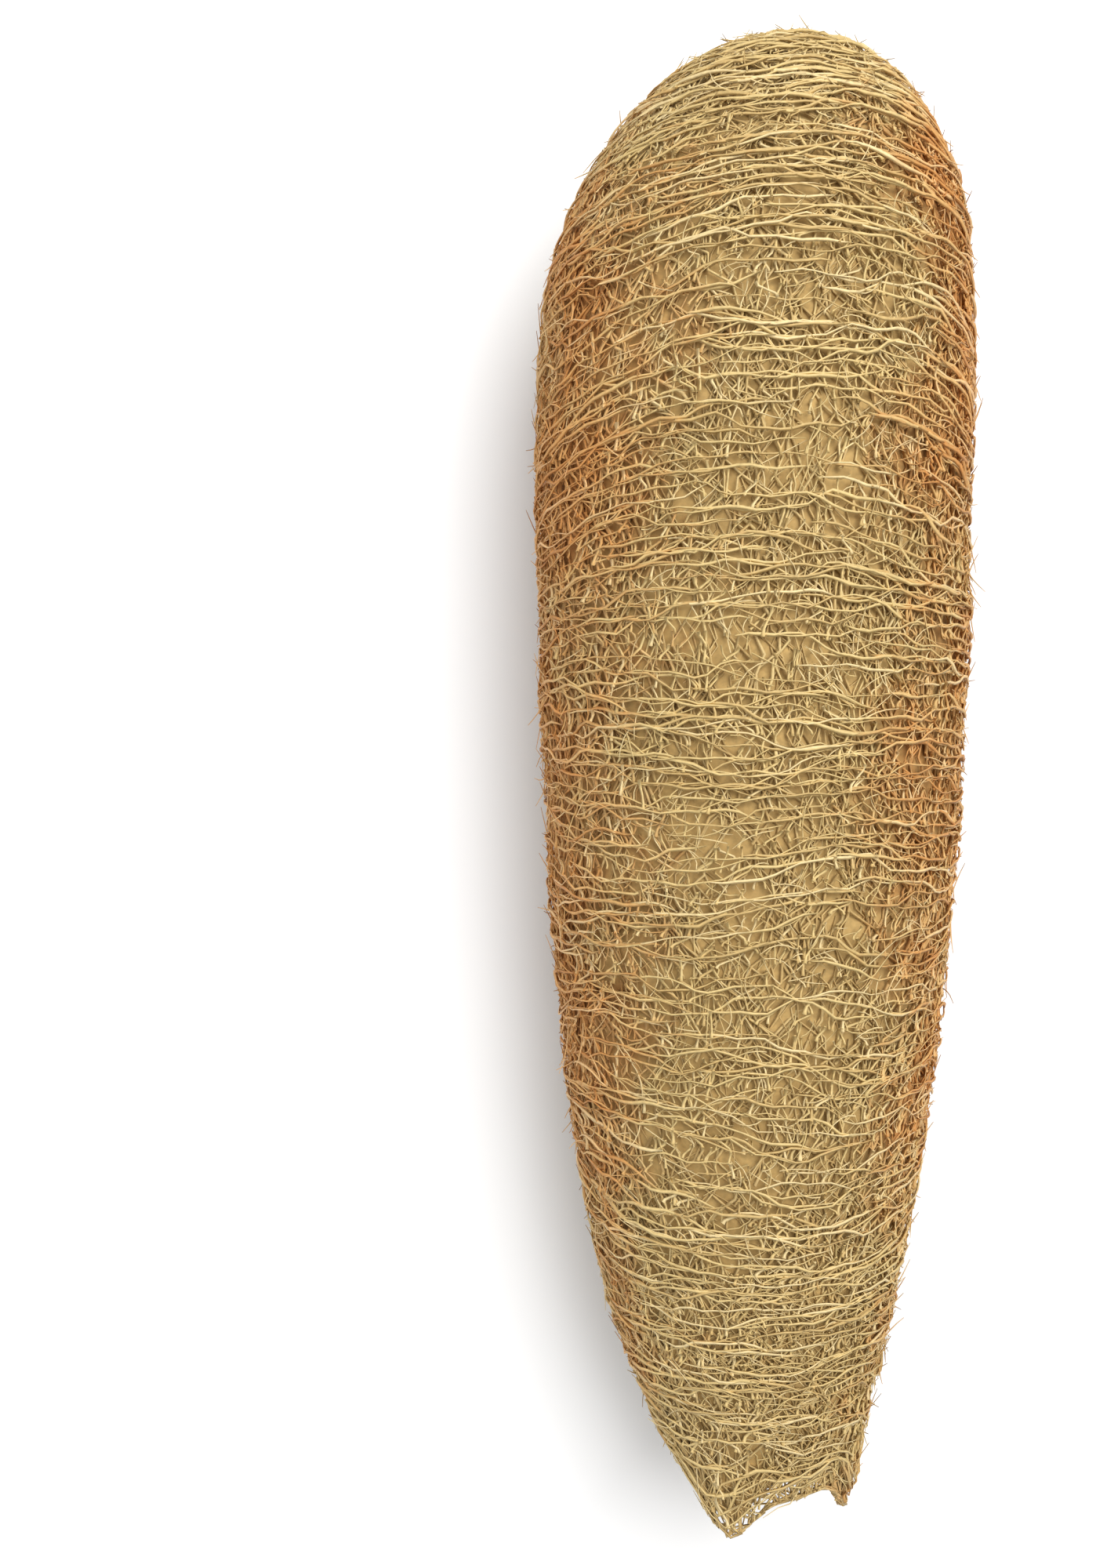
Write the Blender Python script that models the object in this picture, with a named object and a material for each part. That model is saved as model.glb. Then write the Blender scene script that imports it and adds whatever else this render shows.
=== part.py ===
"""A natural loofah sponge: the dried fibre skeleton of a ripe gourd, lying on its side.

The sponge is one grown body. Its length runs along Y, with the domed blossom end at +Y and
the torn stem end at -Y, and it lies on the plane Z = 0. The raised net of its skin, hoops of
fibre that join and part all the way along, is modelled about four times larger than life.
"""

import math

import bmesh
import bpy
from mathutils import Vector, noise

# Driving dimensions, in metres
LENGTH = 0.294  # blossom end to the longest torn point at the stem end
HALF_WIDTH = 0.0434  # half the greatest width
WIDEST_AT = 0.073  # distance from the blossom end to the widest place
ROUND_ABOVE = 0.92  # height above the axis, as a share of the half width
ROUND_BELOW = 0.88  # depth below the axis, flatter because the sponge lies on this side
BALANCE_AT = 0.134  # distance from the blossom end to the place that touches the ground
FLAT_CUT = 0.0012  # how far the ground is pressed into the lowest fibres

# The two ends
DOME_POWER = 2.8  # how square the blossom end is
DOME_ROOT = 0.552
TAPER_LENGTH = 0.2345  # from the widest place to where the taper would close to a point
TAPER_POWER = 2.55
TAPER_ROOT = 0.56
DOME_LEAN = 0.0068  # how far the blossom end leans to +X
DOME_LEAN_REACH = 0.090  # length of the leaning stretch
STEM_LEAN = 0.004  # the same at the stem end
STEM_LEAN_REACH = 0.060
LIP_AT = 0.2870  # where the skin ends at the torn mouth
LIP_WALL = 0.0050  # thickness of the torn wall
MOUTH_DEPTH = 0.011
MOUTH_FLOOR = 0.004  # radius of the flat floor of the mouth
HUB_RADIUS = 0.007  # radius of the scar in the middle of the blossom end

# The net
CELLS_ROUND = 15  # meshes of the net in one hoop
CELL_PITCH = 0.0077  # distance from hoop to hoop
ZIGZAG = 0.20  # how far the hoops sway, as a share of the pitch
FIBRE_HALF_WIDTH = 0.0019  # from the ridge of a fibre to the foot of its side
FIBRE_HEIGHT = 0.0025  # from the ridge down to the floor of a mesh
SIDE_SHARE = 0.26  # most of a small mesh's width that each side may take
UNEVEN = 0.22  # how far a knot strays from its even place, as a share of a mesh
WANDER = 0.5  # how far whole stretches of a hoop wander, as a share of the pitch
LUMPS = 0.0009  # height of the broad swellings of the body
LUMP_SIZE = 0.034
BOW_TOP = 0.009  # how far the hoops bow towards the blossom end, in the blossom third
BOW_STEM = -0.004  # and towards the stem, near the other end

# The matted patch that it lies on, where the meshes are closed
PATCH_LENGTH = 0.060
PATCH_WIDTH = 0.020

STRAW = (0.52, 0.36, 0.16, 1.0)


def clear_scene():
    for old in list(bpy.data.objects):
        bpy.data.objects.remove(old, do_unlink=True)


def straw_material():
    material = bpy.data.materials.new("loofah_straw")
    material.use_nodes = True
    shader = material.node_tree.nodes["Principled BSDF"]
    shader.inputs["Base Color"].default_value = STRAW
    shader.inputs["Roughness"].default_value = 0.75
    shader.inputs["Metallic"].default_value = 0.0
    return material


def half_width(along):
    """Half the width of the body at a distance from the blossom end."""
    if along < WIDEST_AT:
        share = 1.0 - (1.0 - along / WIDEST_AT) ** DOME_POWER
        return HALF_WIDTH * max(share, 0.0) ** DOME_ROOT
    share = 1.0 - ((along - WIDEST_AT) / TAPER_LENGTH) ** TAPER_POWER
    return HALF_WIDTH * max(share, 0.0) ** TAPER_ROOT


def outline():
    """The profile as (distance along, radius) points: over the skin, round the lip, into the mouth."""
    fine = 0.0005
    points = []
    along = 0.0
    while half_width(along) < HUB_RADIUS:
        along += fine / 10
    while along < LIP_AT:
        points.append((along, half_width(along)))
        along += fine
    lip = half_width(LIP_AT)
    for step in range(13):
        turn = math.pi * step / 12
        radius = lip - LIP_WALL / 2 * (1.0 - math.cos(turn))
        points.append((LIP_AT + LIP_WALL / 2 * math.sin(turn), radius))
    throat = lip - LIP_WALL
    for step in range(1, 21):
        share = step / 20
        radius = throat + (MOUTH_FLOOR - throat) * share ** 3
        points.append((LIP_AT - MOUTH_DEPTH * share, radius))
    return points


def measured(points):
    """The same points, each with its distance along the profile."""
    travelled = 0.0
    table = [(0.0, *points[0])]
    for before, here in zip(points, points[1:]):
        travelled += math.dist(before, here)
        table.append((travelled, *here))
    return table


def profile_at(table, travel):
    """Distance along and radius at a distance along the profile."""
    travel = min(max(travel, 0.0), table[-1][0])
    low, high = 0, len(table) - 1
    while high - low > 1:
        middle = (low + high) // 2
        if table[middle][0] <= travel:
            low = middle
        else:
            high = middle
    span = table[high][0] - table[low][0]
    share = (travel - table[low][0]) / span
    along = table[low][1] + share * (table[high][1] - table[low][1])
    radius = table[low][2] + share * (table[high][2] - table[low][2])
    return along, radius


def bump(value, centre, reach):
    """A smooth hill, 1 at its centre."""
    return math.exp(-(((value - centre) / reach) ** 2))


def bow(travel):
    """How far the hoops lean towards the blossom end along the top of the sponge."""
    return BOW_TOP * bump(travel, 0.085, 0.050) + BOW_STEM * bump(travel, 0.240, 0.045)


def torn_edge(angle):
    """How far the torn lip reaches past the mouth, round the end."""
    points = 0.0050 * bump(math.sin(angle + 0.55), 0.0, 0.45) * max(math.cos(angle + 0.55), 0.0)
    points += 0.0035 * bump(math.sin(angle - 1.2), 0.0, 0.40) * max(math.cos(angle - 1.2), 0.0)
    points += 0.0022 * math.sin(3.0 * angle + 3.2) + 0.0010 * math.sin(7.0 * angle - 1.0)
    return points


def axis_at(along):
    """Centre of the section, across and above the ground."""
    lean = DOME_LEAN * max(1.0 - along / DOME_LEAN_REACH, 0.0) ** 2
    lean += STEM_LEAN * max(1.0 - (LENGTH - along) / STEM_LEAN_REACH, 0.0) ** 2
    slope = (half_width(BALANCE_AT + 0.005) - half_width(BALANCE_AT - 0.005)) / 0.010
    height = half_width(BALANCE_AT) + slope * (along - BALANCE_AT)
    return lean, height * ROUND_BELOW - FLAT_CUT


def surface_point(table, travel, angle, lip_travel):
    """A point of the body. The angle starts at the top and turns towards +X."""
    travel -= bow(travel) * math.cos(angle)
    along, radius = profile_at(table, travel)
    across, height = axis_at(along)
    rise = ROUND_ABOVE if math.cos(angle) > 0.0 else ROUND_BELOW
    tear = torn_edge(angle) * bump(travel, lip_travel, 0.009)
    sides = Vector((math.sin(angle), 0.0, math.cos(angle)))
    broad = noise.noise(Vector((sides.x, along / LUMP_SIZE, sides.z)) * 1.3)
    radius += LUMPS * broad * min(radius / HALF_WIDTH * 2.0, 1.0)
    return Vector((
        across + radius * sides.x,
        LENGTH / 2 - along - tear,
        height + radius * rise * sides.z,
    ))


def build_cage(table, rings):
    """A closed body whose edges run along the fibres, with six-sided meshes between them."""
    cage = bmesh.new()
    columns = 2 * CELLS_ROUND
    bmesh.ops.create_uvsphere(cage, u_segments=columns, v_segments=rings, radius=1.0)
    lip_travel = next(row[0] for row in table if row[1] >= LIP_AT + LIP_WALL / 2 * 0.99)
    place = {}
    first = math.pi / columns * (CELLS_ROUND % 2)
    for knot in cage.verts:
        ring = round(math.acos(max(-1.0, min(1.0, knot.co.z))) / math.pi * rings)
        column = round((math.atan2(knot.co.y, knot.co.x) - first) / math.tau * columns) % columns
        place[knot] = (ring, column)

    # Every other lengthwise edge goes, in bricks, which leaves one mesh for two columns
    spare = []
    for edge in cage.edges:
        (ring_a, column_a), (ring_b, column_b) = (place[knot] for knot in edge.verts)
        upper = min(ring_a, ring_b)
        if 0 < upper and max(ring_a, ring_b) < rings and column_a == column_b:
            if (upper + column_a) % 2:
                spare.append(edge)
    poles = [knot for knot in cage.verts if place[knot][0] in (0, rings)]

    step = table[-1][0] / (rings - 2)
    for knot, (ring, column) in place.items():
        if knot in poles:
            continue
        inside = 1 < ring < rings - 1
        sway = ZIGZAG if (ring + column) % 2 == 0 else -ZIGZAG
        stray_along = noise.noise(Vector((ring * 0.83, column * 0.91, 0.4))) * UNEVEN
        stray_along += noise.noise(Vector((ring * 0.21, column * 0.27, 5.7))) * WANDER
        stray_round = noise.noise(Vector((ring * 0.87, column * 0.79, 9.4))) * UNEVEN
        travel = step * (ring - 1 + (sway + stray_along if inside else 0.0))
        angle = math.tau * (column + 2.0 * stray_round * inside) / columns
        knot.co = surface_point(table, travel, angle, lip_travel)

    bmesh.ops.dissolve_verts(cage, verts=poles)
    bmesh.ops.dissolve_edges(cage, edges=spare, use_verts=False, use_face_split=False)
    cage.normal_update()
    if cage.calc_volume(signed=True) < 0.0:
        bmesh.ops.reverse_faces(cage, faces=cage.faces)
    return cage


def raise_net(cage):
    """Each mesh sinks between its fibres, less where the meshes are small."""
    middle = LENGTH / 2 - BALANCE_AT
    for mesh in list(cage.faces):
        centre = mesh.calc_center_median()
        matted = centre.z < 0.004 and abs(centre.x) < PATCH_WIDTH / 2
        if matted and abs(centre.y - middle) < PATCH_LENGTH / 2:
            continue
        narrowest = 4.0 * mesh.calc_area() / mesh.calc_perimeter()
        size = min(1.0, SIDE_SHARE * narrowest / FIBRE_HALF_WIDTH)
        bmesh.ops.inset_individual(
            cage, faces=[mesh], thickness=FIBRE_HALF_WIDTH * size,
            depth=-FIBRE_HEIGHT * size, use_even_offset=True,
        )


def press_flat(cage):
    """The lowest fibres are flattened by the ground, and the body is centred over the origin."""
    bmesh.ops.triangulate(cage, faces=cage.faces[:])
    everything = cage.verts[:] + cage.edges[:] + cage.faces[:]
    cut = bmesh.ops.bisect_plane(
        cage, geom=everything, dist=1e-7, plane_co=(0, 0, 0), plane_no=(0, 0, -1), clear_outer=True
    )
    rim = [item for item in cut["geom_cut"] if isinstance(item, bmesh.types.BMEdge)]
    bmesh.ops.triangle_fill(cage, edges=rim, use_beauty=True, use_dissolve=False, normal=(0, 0, -1))
    bmesh.ops.dissolve_degenerate(cage, dist=2e-5, edges=cage.edges[:])
    bmesh.ops.triangulate(cage, faces=cage.faces[:])
    bmesh.ops.recalc_face_normals(cage, faces=cage.faces[:])
    low_x, high_x = min(v.co.x for v in cage.verts), max(v.co.x for v in cage.verts)
    low_y, high_y = min(v.co.y for v in cage.verts), max(v.co.y for v in cage.verts)
    shift = Vector((-(low_x + high_x) / 2, -(low_y + high_y) / 2, 0.0))
    bmesh.ops.translate(cage, verts=cage.verts[:], vec=shift)


def build_sponge(collection):
    table = measured(outline())
    rings = round(table[-1][0] / CELL_PITCH) + 2
    cage = build_cage(table, rings)
    raise_net(cage)
    press_flat(cage)
    mesh = bpy.data.meshes.new("loofah_sponge")
    cage.to_mesh(mesh)
    cage.free()
    mesh.materials.append(straw_material())
    sponge = bpy.data.objects.new("loofah_sponge", mesh)
    collection.objects.link(sponge)
    return sponge


clear_scene()
parts = bpy.data.collections.new("natural_loofah_sponge")
bpy.context.scene.collection.children.link(parts)
build_sponge(parts)
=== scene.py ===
"""A natural loofah sponge lying on its side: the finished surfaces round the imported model."""

import math
import random

import bmesh
import bpy
import numpy as np
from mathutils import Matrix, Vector, noise


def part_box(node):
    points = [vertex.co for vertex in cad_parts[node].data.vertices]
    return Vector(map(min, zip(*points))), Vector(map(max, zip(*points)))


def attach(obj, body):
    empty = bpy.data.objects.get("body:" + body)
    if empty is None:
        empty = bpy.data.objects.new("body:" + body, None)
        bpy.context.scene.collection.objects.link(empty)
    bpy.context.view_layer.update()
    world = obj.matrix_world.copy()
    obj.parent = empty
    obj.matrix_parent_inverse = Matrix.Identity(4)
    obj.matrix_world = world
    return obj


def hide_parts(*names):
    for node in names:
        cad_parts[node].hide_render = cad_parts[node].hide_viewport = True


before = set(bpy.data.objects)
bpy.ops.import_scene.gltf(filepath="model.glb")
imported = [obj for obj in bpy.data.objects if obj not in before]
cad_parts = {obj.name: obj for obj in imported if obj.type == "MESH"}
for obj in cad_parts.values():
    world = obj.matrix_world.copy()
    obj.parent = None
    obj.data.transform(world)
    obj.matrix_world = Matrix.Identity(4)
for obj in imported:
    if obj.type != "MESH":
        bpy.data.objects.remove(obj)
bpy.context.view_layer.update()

# Camera
# It looks straight down from close above, as the photograph does, with the blossom end
# at the top of the picture. The sponge lies to the right of the picture's middle.
PIXEL = 0.0001568  # metres a pixel of the 1412 by 2000 picture covers at the sponge's outline
PICTURE_TALL = 2000
EYE_ABOVE_OUTLINE = 0.300
OUTLINE_HEIGHT = 0.041
EYE_ACROSS, EYE_ALONG = -0.0398, -0.0007
SENSOR = 0.036

camera_data = bpy.data.cameras.new("photo_camera")
camera_data.sensor_width = SENSOR * 1000
camera_data.lens = SENSOR * 1000 * EYE_ABOVE_OUTLINE / (PICTURE_TALL * PIXEL)
camera = bpy.data.objects.new("photo_camera", camera_data)
bpy.context.scene.collection.objects.link(camera)
camera.location = (EYE_ACROSS, EYE_ALONG, OUTLINE_HEIGHT + EYE_ABOVE_OUTLINE)
camera_data.clip_start = 0.01
camera_data.clip_end = 10.0
bpy.context.scene.camera = camera

# The mat inside the net
# Under its outer net the sponge is a dense mat of dried fibre. It fills the body just below
# the skin, and shows between the fibres of the net; its browner colour is partly painted shade of the
# deep gaps. The body's own form is worked out here.
LENGTH = 0.294
HALF_WIDTH = 0.0434
WIDEST_AT = 0.073
ROUND_ABOVE, ROUND_BELOW = 0.92, 0.88
BALANCE_AT = 0.134
GROUND_PRESS = 0.0012
DOME_POWER, DOME_ROOT = 2.8, 0.552
TAPER_LENGTH, TAPER_POWER, TAPER_ROOT = 0.2345, 2.55, 0.56
DOME_LEAN, DOME_LEAN_REACH = 0.0068, 0.090
STEM_LEAN, STEM_LEAN_REACH = 0.004, 0.060
LIP_AT = 0.2870
HUB_RADIUS = 0.0015
DOME_BOW, DOME_BOW_AT, DOME_BOW_REACH = 0.009, 0.085, 0.050
STEM_BOW, STEM_BOW_AT, STEM_BOW_REACH = 0.004, 0.240, 0.045
LEFT_POINT, LEFT_POINT_TURN, LEFT_POINT_WIDTH = 0.0050, -0.55, 0.45
RIGHT_POINT, RIGHT_POINT_TURN, RIGHT_POINT_WIDTH = 0.0035, 1.2, 0.40
EDGE_WAVE, EDGE_RIPPLE = 0.0022, 0.0010
TEAR_REACH = 0.009
SWELL = 0.010
DOME_SINK_REACH = 0.03
GROUND_GAP, GROUND_LAYERING = 0.0004, 0.35
BLOSSOM_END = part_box("loofah_sponge")[1][1]  # the dome's furthest point along Y
MAT_DEPTH, MAT_ROUGHNESS, MAT_ROUGH_RATE = 0.0026, 0.0008, 40.0


def half_width(along):
    """Half the width of the body at distances from the blossom end."""
    dome = 1.0 - (1.0 - np.minimum(along / WIDEST_AT, 1.0)) ** DOME_POWER
    past = np.clip((along - WIDEST_AT) / TAPER_LENGTH, 0.0, 0.999)
    taper = 1.0 - past ** TAPER_POWER
    return HALF_WIDTH * np.where(along < WIDEST_AT, dome ** DOME_ROOT, taper ** TAPER_ROOT)


steps = np.concatenate([np.linspace(0.0, 0.01, 400), np.linspace(0.01, LIP_AT, 900)[1:]])
widths = half_width(steps)
started = widths >= HUB_RADIUS
steps, widths = steps[started], widths[started]
travelled = np.concatenate([[0.0], np.cumsum(np.hypot(np.diff(steps), np.diff(widths)))])
SKIN_LENGTH = travelled[-1]


def bump(value, centre, reach):
    """A smooth hill, 1 at its centre."""
    return np.exp(-(((value - centre) / reach) ** 2))


def bow(travel):
    """How far the hoops lean towards the blossom end along the top of the sponge."""
    towards_dome = DOME_BOW * bump(travel, DOME_BOW_AT, DOME_BOW_REACH)
    return towards_dome - STEM_BOW * bump(travel, STEM_BOW_AT, STEM_BOW_REACH)


def torn_edge(turn):
    """How far the torn lip reaches past the mouth, round the end."""
    left = turn - LEFT_POINT_TURN
    right = turn - RIGHT_POINT_TURN
    points = LEFT_POINT * bump(np.sin(left), 0.0, LEFT_POINT_WIDTH) * np.maximum(np.cos(left), 0.0)
    points += RIGHT_POINT * bump(np.sin(right), 0.0, RIGHT_POINT_WIDTH) * np.maximum(np.cos(right), 0.0)
    return points + EDGE_WAVE * np.sin(3.0 * turn + 3.2) + EDGE_RIPPLE * np.sin(7.0 * turn - 1.0)


def section(travel):
    """Place along the axis, radius, and centre of the section, for distances over the skin."""
    along = np.interp(travel, travelled, steps) + np.maximum(travel - SKIN_LENGTH, 0.0)
    radius = np.interp(travel, travelled, widths)
    lean = DOME_LEAN * np.maximum(1.0 - along / DOME_LEAN_REACH, 0.0) ** 2
    lean += STEM_LEAN * np.maximum(1.0 - (LENGTH - along) / STEM_LEAN_REACH, 0.0) ** 2
    balance = half_width(np.array([BALANCE_AT - 0.005, BALANCE_AT, BALANCE_AT + 0.005]))
    slope = (balance[2] - balance[0]) / 0.010
    height = (balance[1] + slope * (along - BALANCE_AT)) * ROUND_BELOW - GROUND_PRESS
    return along, radius, lean, height


def on_body(travel, turn, depth):
    """Points on the body: distance over the skin, turn from the top towards +X, depth under the skin."""
    travel = np.maximum(travel - bow(travel) * np.cos(turn), 0.0)
    along, radius, lean, height = section(travel)
    swell = 1.0 + SWELL * np.sin(3.0 * turn + along * 60.0) * np.sin(along * 95.0)
    radius = radius * swell
    inner = np.maximum(radius - depth, 0.0002)
    rise = np.where(np.cos(turn) > 0.0, ROUND_ABOVE, ROUND_BELOW)
    tear = torn_edge(turn) * bump(travel, SKIN_LENGTH, TEAR_REACH)
    sink = depth * np.clip(1.0 - along / DOME_SINK_REACH, 0.0, 1.0)
    x = lean + inner * np.sin(turn)
    y = BLOSSOM_END - along - tear - sink
    z = height + inner * rise * np.cos(turn)
    ground = GROUND_GAP + np.maximum(depth, 0.0) * GROUND_LAYERING
    return np.stack([x, y, np.maximum(z, ground)], axis=-1)


def fibre_tone_and_painted_side_shade():
    """A node group for the colour of dried fibre: straw on top and amber at the sides, the amber sides a
    painted shade where the flanks turn from the light, with amber patches, specks and streaks.
    """
    group = bpy.data.node_groups.new("fibre_tone_and_painted_side_shade", "ShaderNodeTree")
    colours = (("Straw", "Color"), ("Amber", "Color"))
    amounts = (("Streaks", "Float"), ("Lean to amber", "Float"))
    for socket, kind in colours + amounts:
        group.interface.new_socket(socket, in_out="INPUT", socket_type="NodeSocket" + kind)
    group.interface.new_socket("Color", in_out="OUTPUT", socket_type="NodeSocketColor")
    nodes, links = group.nodes, group.links
    given = nodes.new("NodeGroupInput")
    result = nodes.new("NodeGroupOutput")
    place = nodes.new("ShaderNodeTexCoord")
    axes = nodes.new("ShaderNodeSeparateXYZ")
    links.new(place.outputs["Object"], axes.inputs[0])

    def math_node(operation, first, second, third=None):
        node = nodes.new("ShaderNodeMath")
        node.operation = operation
        for number, value in enumerate((first, second, third)):
            if isinstance(value, (int, float)):
                node.inputs[number].default_value = value
            elif value is not None:
                links.new(value, node.inputs[number])
        return node.outputs[0]

    def noise_node(scale, detail):
        node = nodes.new("ShaderNodeTexNoise")
        node.inputs["Scale"].default_value = scale
        node.inputs["Detail"].default_value = detail
        links.new(place.outputs["Object"], node.inputs["Vector"])
        return node.outputs["Fac"]

    # Painted shade: the colour turns from straw to amber, darker and warmer, with distance from the
    # middle along X, so the flanks look turned from the light.
    side_shade_gain, side_shade_start = 42.0, -0.75
    side = math_node("ABSOLUTE", axes.outputs["X"], 0.0)
    side = math_node("MULTIPLY_ADD", side, side_shade_gain, side_shade_start)
    patches = math_node("MULTIPLY_ADD", noise_node(38.0, 3.0), 2.2, -1.1)
    specks = math_node("MULTIPLY_ADD", noise_node(260.0, 2.0), 1.2, -0.6)
    amber = math_node("ADD", math_node("ADD", side, patches), specks)
    amber = math_node("ADD", amber, given.outputs["Lean to amber"])
    clamp = nodes.new("ShaderNodeClamp")
    links.new(amber, clamp.inputs[0])
    tone = nodes.new("ShaderNodeMix")
    tone.data_type = "RGBA"
    links.new(clamp.outputs[0], tone.inputs["Factor"])
    links.new(given.outputs["Straw"], tone.inputs["A"])
    links.new(given.outputs["Amber"], tone.inputs["B"])
    streak = math_node("MULTIPLY_ADD", noise_node(1100.0, 2.0), 2.0, -1.0)
    streak = math_node("MULTIPLY_ADD", streak, given.outputs["Streaks"], 1.0)
    bright = nodes.new("ShaderNodeVectorMath")
    bright.operation = "SCALE"
    links.new(tone.outputs["Result"], bright.inputs[0])
    links.new(streak, bright.inputs["Scale"])
    links.new(bright.outputs["Vector"], result.inputs["Color"])
    return group


TONE = fibre_tone_and_painted_side_shade()
STREAKS = 0.30


def fibre_material(name, straw, amber, lean, roughness):
    """Dried plant fibre, with its straw, its amber for the patches and the painted shade of the flanks,
    and how far it leans to amber.
    """
    material = bpy.data.materials.new(name)
    material.use_nodes = True
    nodes, links = material.node_tree.nodes, material.node_tree.links
    shader = nodes["Principled BSDF"]
    tone = nodes.new("ShaderNodeGroup")
    tone.node_tree = TONE
    tone.inputs["Straw"].default_value = (*straw, 1.0)
    tone.inputs["Amber"].default_value = (*amber, 1.0)
    tone.inputs["Streaks"].default_value = STREAKS
    tone.inputs["Lean to amber"].default_value = lean
    links.new(tone.outputs["Color"], shader.inputs["Base Color"])
    shader.inputs["Roughness"].default_value = roughness
    return material


def finish(piece):
    """A finished piece stands for the sponge's solid and lies where it lies."""
    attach(piece, "root")
    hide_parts("loofah_sponge")


# The mat is darker and browner than the net: partly the fibre's own colour, partly painted shade of the
# depth under the net.
mat_material = fibre_material("inner_mat", (0.46, 0.305, 0.110), (0.38, 0.165, 0.038), 0.0, 0.9)
mat_mesh = bmesh.new()
MAT_RINGS, MAT_COLUMNS = 220, 160
bmesh.ops.create_uvsphere(mat_mesh, u_segments=MAT_COLUMNS, v_segments=MAT_RINGS, radius=1.0)
unit = np.array([knot.co[:] for knot in mat_mesh.verts])
share = np.arccos(np.clip(unit[:, 2], -1.0, 1.0)) / math.pi
rough = np.array([noise.noise(Vector(co) * MAT_ROUGH_RATE) for co in unit])
mat_turn = np.arctan2(unit[:, 1], unit[:, 0])
placed = on_body(share * SKIN_LENGTH, mat_turn, MAT_DEPTH + MAT_ROUGHNESS * rough)
last = share > 1.0 - 0.5 / MAT_RINGS
placed[last] = placed[~last][np.argmax(share[~last])]
last_ring = share > 1.0 - 1.5 / MAT_RINGS
placed[last, 0] = placed[last_ring, 0].mean()
placed[last, 2] = placed[last_ring, 2].mean()
for knot, co in zip(mat_mesh.verts, placed):
    knot.co = co
bmesh.ops.recalc_face_normals(mat_mesh, faces=mat_mesh.faces[:])
mat_data = bpy.data.meshes.new("inner_mat")
mat_mesh.to_mesh(mat_data)
mat_mesh.free()
mat_data.materials.append(mat_material)
mat_data.shade_smooth()
inner_mat = bpy.data.objects.new("inner_mat", mat_data)
bpy.context.scene.collection.objects.link(inner_mat)
finish(inner_mat)

# Hoop fibres
# The outer net is made of fibres that run round the sponge, part, and join their neighbours.
# They stand proud of the mat, and each lane of the net is covered about one and a half times.
HOOP_PITCH = 0.0021
HOOP_STEP = 0.0021
HOOP_RADIUS = 0.00024
HOOP_COVER = 1.5  # turns of fibre in each lane
HOOP_SPAN = (0.5, 2.0)  # radians that one fibre runs
CROSSING_LENGTH = 0.0060
SECTION_SHARE = 0.95  # the flattened section's girth as a share of a circle's
PAST_LIP = 0.003
FIRST_LANE = 2
TONE_WEIGHTS = [2, 5, 3]
tones = [
    fibre_material("pale_straw", (0.72, 0.56, 0.28), (0.72, 0.42, 0.17), -0.1, 0.55),
    fibre_material("golden_straw", (0.63, 0.465, 0.195), (0.63, 0.325, 0.10), 0.0, 0.6),
    fibre_material("amber_fibre", (0.54, 0.375, 0.145), (0.54, 0.24, 0.06), 0.15, 0.65),
]


def lay_fibres(name, strands, thickness, materials, weights, seed):
    """One piece of many three-sided fibres. A strand is an array of points with a width each."""
    chance = random.Random(seed)
    profile_data = bpy.data.curves.new(name + "_profile", "CURVE")
    profile_data.dimensions = "2D"
    corners = profile_data.splines.new("POLY")
    corners.points.add(2)
    corners.use_cyclic_u = True
    for number in range(3):
        turn = math.tau * number / 3
        corners.points[number].co = (thickness * math.cos(turn), thickness * math.sin(turn), 0.0, 1.0)
    profile = bpy.data.objects.new(name + "_profile", profile_data)
    curve = bpy.data.curves.new(name, "CURVE")
    curve.dimensions = "3D"
    curve.bevel_mode = "OBJECT"
    curve.bevel_object = profile
    curve.use_fill_caps = True
    for material in materials:
        curve.materials.append(material)
    for points, width in strands:
        spline = curve.splines.new("POLY")
        spline.points.add(len(points) - 1)
        homogeneous = np.concatenate([points, np.ones((len(points), 1))], axis=1)
        spline.points.foreach_set("co", homogeneous.ravel())
        spline.points.foreach_set("radius", width)
        spline.material_index = chance.choices(range(len(materials)), weights)[0]
    drawn = bpy.data.objects.new(name + "_drawn", curve)
    bpy.context.scene.collection.objects.link(profile)
    bpy.context.scene.collection.objects.link(drawn)
    shape = drawn.evaluated_get(bpy.context.evaluated_depsgraph_get())
    mesh = bpy.data.meshes.new_from_object(shape)
    mesh.name = name
    for spare in (drawn, profile):
        bpy.data.objects.remove(spare, do_unlink=True)
    welded = bmesh.new()
    welded.from_mesh(mesh)
    bmesh.ops.remove_doubles(welded, verts=welded.verts[:], dist=1e-7)
    welded.to_mesh(mesh)
    welded.free()
    mesh.shade_smooth()
    piece = bpy.data.objects.new(name, mesh)
    bpy.context.scene.collection.objects.link(piece)
    finish(piece)
    return piece


def girth(travel):
    """Length of one turn of the skin."""
    return math.tau * float(np.interp(travel, travelled, widths)) * SECTION_SHARE


def ease(share):
    """A soft start and stop between 0 and 1."""
    share = np.clip(share, 0.0, 1.0)
    return share * share * (3.0 - 2.0 * share)


WANDER_SIZE = 0.0005
wander_seed = np.random.default_rng(11)
WANDER_WAVES = [
    (wander_seed.integers(1, 7), wander_seed.uniform(20, 110), wander_seed.uniform(0, math.tau),
     wander_seed.uniform(0.3, 1.0))
    for _ in range(14)
]


def wander(travel, turn):
    """How far the net as a whole strays along the sponge, the same for neighbouring fibres."""
    total = 0.0
    for waves, along_rate, start, size in WANDER_WAVES:
        total = total + size * np.sin(waves * turn + along_rate * travel + start)
    return total * WANDER_SIZE


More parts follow.
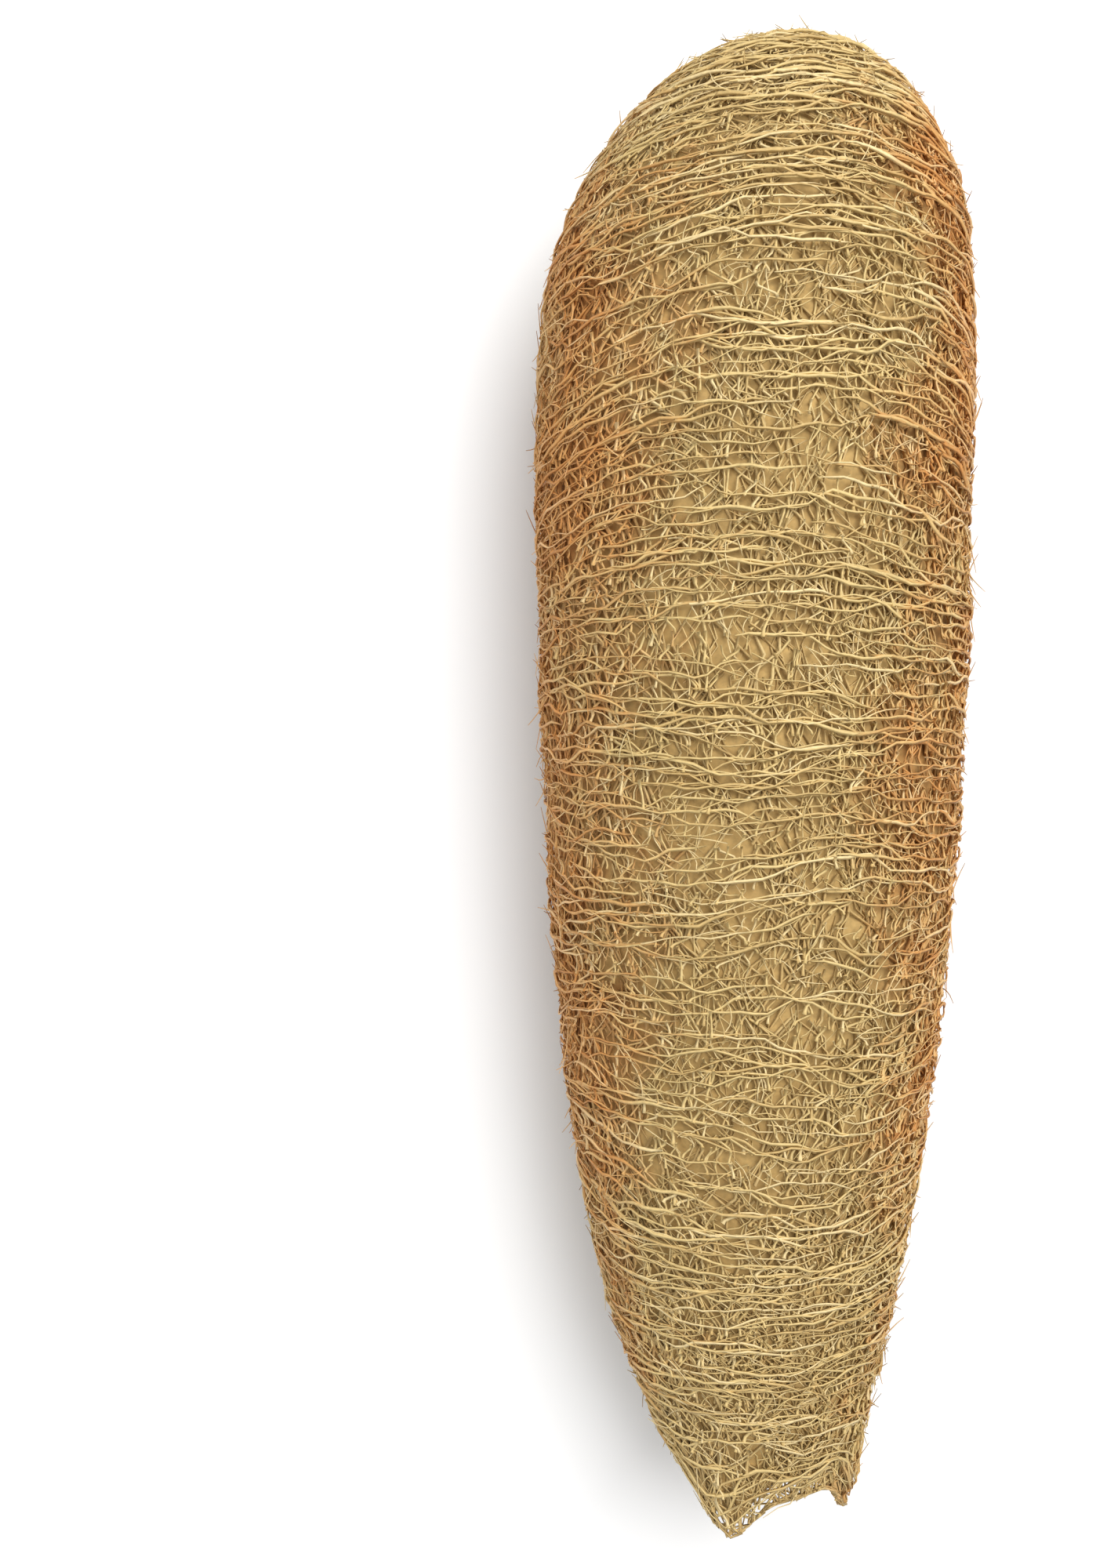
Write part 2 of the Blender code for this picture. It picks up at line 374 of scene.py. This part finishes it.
def hoop_strand(chance, lane, start, span):
    """One fibre that follows its hoop and crosses to a neighbouring hoop now and then."""
    travel_here = (lane + 0.5) * HOOP_PITCH
    count = max(int(span * girth(travel_here) / math.tau / HOOP_STEP), 4)
    turn = start + span * np.linspace(0.0, 1.0, count)
    offset = np.zeros(count)
    place = start + chance.uniform(0.1, 0.5)
    level = 0
    reach = CROSSING_LENGTH / max(girth(travel_here) / math.tau, 0.004)
    while place < start + span:
        move = chance.choice([-1, 1]) if level == 0 else -level
        offset += move * ease((turn - place) / reach)
        level += move
        place += reach + chance.uniform(0.15, 0.8)
    own = chance.uniform(0, math.tau)
    own_wobble = 0.16 * np.sin(turn * chance.uniform(9, 17) + own) + 0.1 * np.sin(turn * 31.0 + own)
    travel = (lane + 0.5 + offset + own_wobble) * HOOP_PITCH
    travel = travel + wander(travel, turn)
    depth = 0.0002 + 0.0004 * np.sin(turn * chance.uniform(5, 11) + own)
    points = on_body(np.clip(travel, 0.0, SKIN_LENGTH + PAST_LIP), turn, depth)
    width = chance.uniform(0.7, 1.5) * (1.0 + 0.25 * np.sin(turn * 13.0 + own))
    from_ends = np.minimum(np.arange(count) + 0.6, count - np.arange(count) - 0.4)
    width = width * np.minimum(1.0, from_ends / 2.0)
    return points, width


chance = random.Random(5)
hoops = []
lanes = int(SKIN_LENGTH / HOOP_PITCH)
for lane in range(FIRST_LANE, lanes):
    covered = 0.0
    while covered < HOOP_COVER * math.tau:
        span = chance.uniform(*HOOP_SPAN)
        hoops.append(hoop_strand(chance, lane, chance.uniform(0, math.tau), span))
        covered += span
half = len(hoops) // 2
lay_fibres("hoop_fibres_blossom", hoops[:half], HOOP_RADIUS, tones, TONE_WEIGHTS, 1)
lay_fibres("hoop_fibres_stem", hoops[half:], HOOP_RADIUS, tones, TONE_WEIGHTS, 2)

# Linking fibres
# Between the hoops short fibres branch off one, cross at a slant and join the next,
# which closes the net's small meshes.
LINK_RADIUS = 0.00027
LINK_SPACING = 0.0027
LINK_SLANT = 0.0016
SINGLE_SHARE = 0.75  # of the links join neighbouring hoops, and the rest the hoop after


def link_strand(chance, lane):
    """A short fibre from one hoop to the next, broad where it joins them."""
    round_rate = girth((lane + 0.5) * HOOP_PITCH) / math.tau
    reach = chance.gauss(0.0, LINK_SLANT)
    start = chance.uniform(0, math.tau)
    share = np.linspace(-0.08, 1.08, 5)
    turn = start + ease(share) * reach / round_rate
    hoops_crossed = 1 if chance.random() < SINGLE_SHARE else 2
    travel = (lane + 0.5 + hoops_crossed * share) * HOOP_PITCH
    travel = travel + wander(travel, turn)
    depth = 0.0004 + chance.uniform(-0.0002, 0.0006) + 0.0003 * np.sin(share * math.pi)
    points = on_body(np.clip(travel, 0.0, SKIN_LENGTH + PAST_LIP), turn, depth)
    width = chance.uniform(0.6, 1.35) * np.array([1.3, 1.0, 0.8, 1.0, 1.3])
    return points, width


chance = random.Random(6)
links = []
for lane in range(FIRST_LANE, lanes - 1):
    for _ in range(int(girth((lane + 0.5) * HOOP_PITCH) / LINK_SPACING)):
        links.append(link_strand(chance, lane))
half = len(links) // 2
lay_fibres("linking_fibres_blossom", links[:half], LINK_RADIUS, tones, TONE_WEIGHTS, 3)
lay_fibres("linking_fibres_stem", links[half:], LINK_RADIUS, tones, TONE_WEIGHTS, 13)

# Fibres under the net
# Below the hoops a second net runs mostly along the sponge and slantwise, browner than the
# first because it lies in shade and keeps some of the dried flesh.
UNDER_RADIUS = 0.00026
UNDER_LONG = (0.010, 0.030)
UNDER_STEP = 0.0026
UNDER_SLANT = 0.6
UNDER_DEPTH, UNDER_COUNT = (0.0012, 0.0022), 2200
DEEP_DEPTH, DEEP_COUNT = (0.0016, 0.0026), 2400
under_tones = [
    fibre_material("brown_fibre", (0.50, 0.34, 0.130), (0.48, 0.205, 0.048), 0.1, 0.75),
    fibre_material("tan_fibre", (0.58, 0.42, 0.18), (0.60, 0.29, 0.085), 0.1, 0.7),
]


def under_strand(chance, shallow, deep):
    """A fibre of the second net: it runs along the sponge, and sways round it."""
    travel_start = chance.uniform(0.004, SKIN_LENGTH - 0.004)
    long = chance.uniform(*UNDER_LONG)
    slant = chance.choice([-1, 1]) * abs(chance.gauss(0.0, UNDER_SLANT))
    count = max(int(long / UNDER_STEP), 4)
    share = np.linspace(0.0, 1.0, count)
    travel = travel_start + long * share
    round_rate = max(girth(travel_start) / math.tau, 0.004)
    own = chance.uniform(0, math.tau)
    turn = chance.uniform(0, math.tau) + slant * long * share / round_rate
    turn = turn + 0.0012 * np.sin(share * long * 900.0 + own) / round_rate
    depth = chance.uniform(shallow, deep) + 0.0005 * np.sin(share * long * 700.0 + own)
    points = on_body(np.clip(travel, 0.0, SKIN_LENGTH + 0.002), turn, depth)
    return points, chance.uniform(0.6, 1.4) * np.ones(count)


chance = random.Random(7)
under = [under_strand(chance, *UNDER_DEPTH) for _ in range(UNDER_COUNT)]
lay_fibres("under_fibres", under, UNDER_RADIUS, under_tones + tones[1:2], [3, 4, 3], 4)
deep = [under_strand(chance, *DEEP_DEPTH) for _ in range(DEEP_COUNT)]
lay_fibres("deep_fibres", deep, UNDER_RADIUS, under_tones, [3, 2], 5)

# Loose fibres
# Broken and stray fibres stand off the net all over and make the sponge's ragged outline.
LOOSE_RADIUS = 0.00013
LOOSE_COUNT = 5200
LOOSE_REACH = (0.002, 0.010)
LOOSE_LIFT = 0.0011


def loose_strand(chance, reach, lift):
    """A fibre fixed at one end, whose other end has come away from the net."""
    travel_start = chance.uniform(0.001, SKIN_LENGTH)
    way = chance.gauss(0.0, 0.7) + chance.choice([0.0, math.pi])
    round_rate = max(girth(travel_start) / math.tau, 0.004)
    share = np.linspace(0.0, 1.0, 5)
    curl = chance.uniform(-0.9, 0.9)
    turn = chance.uniform(0, math.tau) + reach * share * np.cos(way + curl * share) / round_rate
    travel = travel_start + reach * share * np.sin(way + curl * share)
    depth = 0.0006 - lift * share ** 1.5
    points = on_body(np.clip(travel, 0.0, SKIN_LENGTH + 0.002), turn, depth)
    return points, np.array([1.2, 1.1, 1.0, 0.8, 0.45])


chance = random.Random(8)
loose = []
for _ in range(LOOSE_COUNT):
    reach = chance.uniform(*LOOSE_REACH)
    lift = abs(chance.gauss(0.0, LOOSE_LIFT))
    loose.append(loose_strand(chance, reach, lift))
lay_fibres("loose_fibres", loose, LOOSE_RADIUS, tones, [4, 4, 3], 6)

# Floor and light
# A plain pale floor, with soft light from above as in a bright room.
FLOOR_HALF = 1.5
floor_mesh = bmesh.new()
bmesh.ops.create_grid(floor_mesh, x_segments=1, y_segments=1, size=FLOOR_HALF)
floor_data = bpy.data.meshes.new("floor")
floor_mesh.to_mesh(floor_data)
floor_mesh.free()
floor_material = bpy.data.materials.new("pale_floor")
floor_material.use_nodes = True
floor_shader = floor_material.node_tree.nodes["Principled BSDF"]
floor_shader.inputs["Base Color"].default_value = (0.86, 0.86, 0.86, 1.0)
floor_shader.inputs["Roughness"].default_value = 0.9
floor_data.materials.append(floor_material)
floor = bpy.data.objects.new("floor", floor_data)
bpy.context.scene.collection.objects.link(floor)


def area_light(name, place, aim, size, power):
    """A soft square light that faces a point."""
    data = bpy.data.lights.new(name, "AREA")
    data.size = size
    data.energy = power
    lamp = bpy.data.objects.new(name, data)
    lamp.location = place
    lamp.rotation_euler = (Vector(aim) - Vector(place)).to_track_quat("-Z", "Y").to_euler()
    bpy.context.scene.collection.objects.link(lamp)


area_light("overhead_light", (0.25, 0.35, 0.95), (0, 0, 0.03), 0.7, 11.5)
area_light("fill_light", (-0.8, -0.3, 0.7), (0, 0, 0.03), 0.8, 2.5)
world = bpy.data.worlds.new("room_light")
world.use_nodes = True
world.node_tree.nodes["Background"].inputs["Color"].default_value = (1.0, 1.0, 1.0, 1.0)
world.node_tree.nodes["Background"].inputs["Strength"].default_value = 0.55
bpy.context.scene.world = world
bpy.context.scene.view_settings.view_transform = "Standard"
